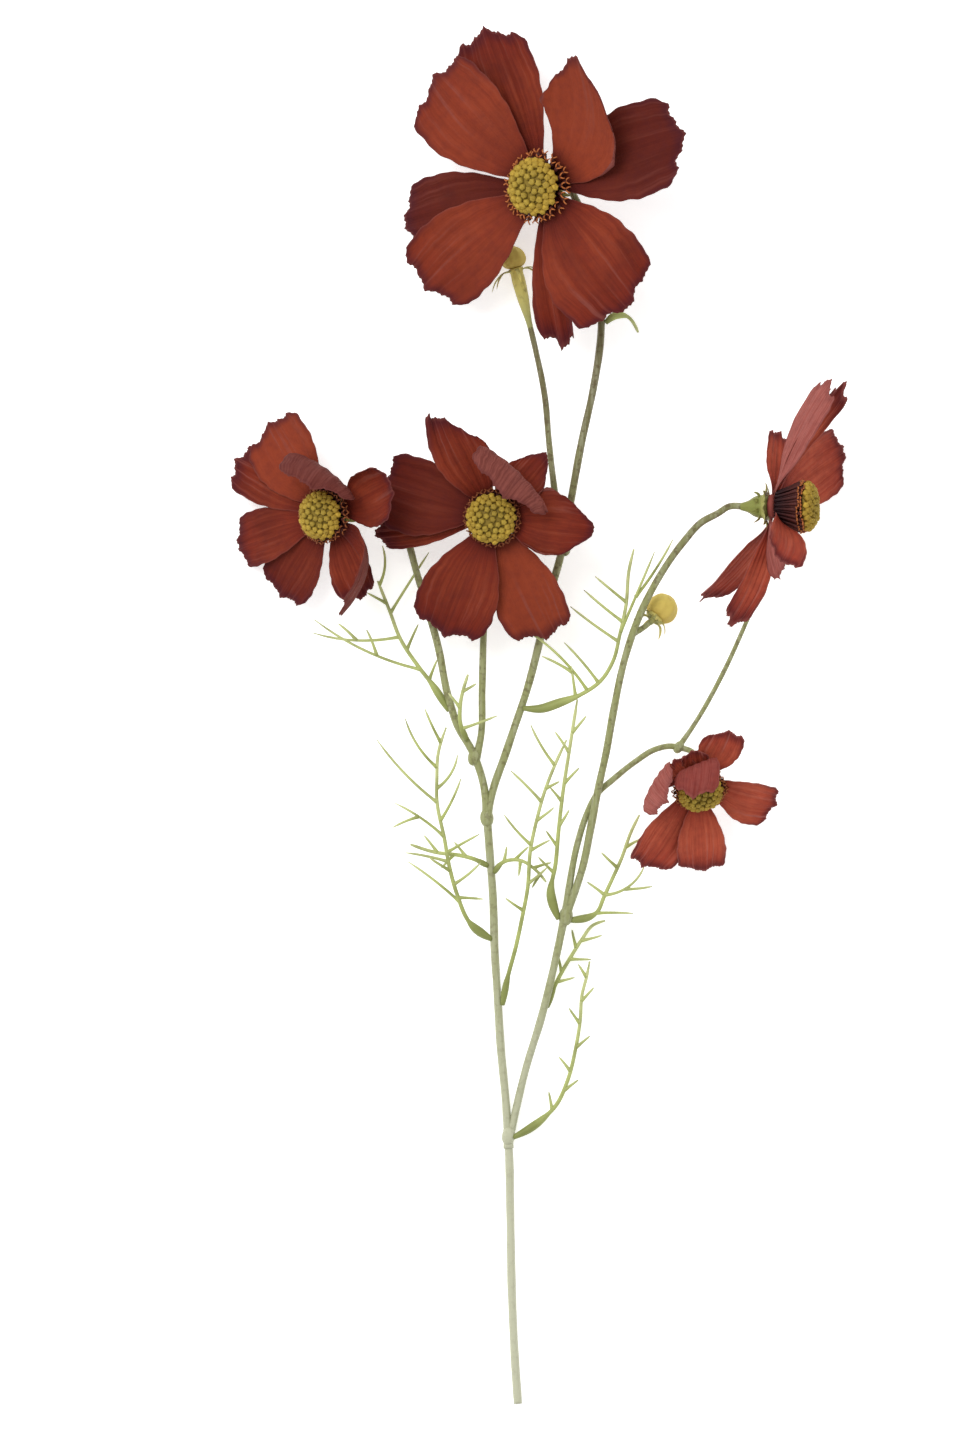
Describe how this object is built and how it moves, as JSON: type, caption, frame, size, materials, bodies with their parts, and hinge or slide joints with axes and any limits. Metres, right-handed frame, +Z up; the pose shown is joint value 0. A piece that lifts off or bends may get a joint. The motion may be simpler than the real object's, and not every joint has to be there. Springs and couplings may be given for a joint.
{
  "type": "cosmos flower spray",
  "caption": "Cut spray of cosmos lying on a surface: branching stem with open eight-petalled blooms, buds and thread-like leaves.",
  "frame": {"origin": "on the surface that the spray lies on, under the middle of its outline", "axes": "+Y runs up the stem from its cut end to the top bloom, +Z points up from the surface, +X is to the right seen from above"},
  "size_m": [0.1969, 0.4407, 0.0584],
  "materials": {
    "petal": "matt burgundy-brick petal with fine lengthwise veins and a darker edge",
    "petal_pale": "matt faded rose-brick petal with fine lengthwise veins",
    "disc": "grainy olive-yellow disc of closed florets",
    "collar": "dark brown-purple floret tubes with tan tips",
    "calyx": "satin olive-green calyx and bracts",
    "stem": "satin grey-green stem, browner and speckled towards the blooms",
    "leaf": "satin yellow-green thread-like leaf",
    "bud": "matt olive-yellow closed bud"
  },
  "bodies": {
    "root": {"stem": "stem", "leaf_low_left": "leaf", "leaf_left": "leaf", "leaf_fork_left": "leaf", "leaf_centre": "leaf", "leaf_cross_right": "leaf", "leaf_cross_left": "leaf", "leaf_fork_right": "leaf", "leaf_upper": "leaf", "leaf_right": "leaf", "leaf_low_right": "leaf", "leaf_foot": "leaf", "leaf_top": "leaf", "petals_top": "petal", "collar_top": "collar", "disc_top": "disc", "calyx_top": "calyx", "petals_left": "petal", "collar_left": "collar", "disc_left": "disc", "calyx_left": "calyx", "petals_middle": "petal", "collar_middle": "collar", "disc_middle": "disc", "calyx_middle": "calyx", "petals_right": "petal_pale", "collar_right": "collar", "disc_right": "disc", "calyx_right": "calyx", "petals_lower": "petal_pale", "collar_lower": "collar", "disc_lower": "disc", "calyx_lower": "calyx", "bud_top": "bud", "bud_top_bracts": "calyx", "bud_side": "bud", "bud_side_bracts": "calyx", "bud_back": "bud", "bud_back_bracts": "calyx"}
  },
  "joints": []
}
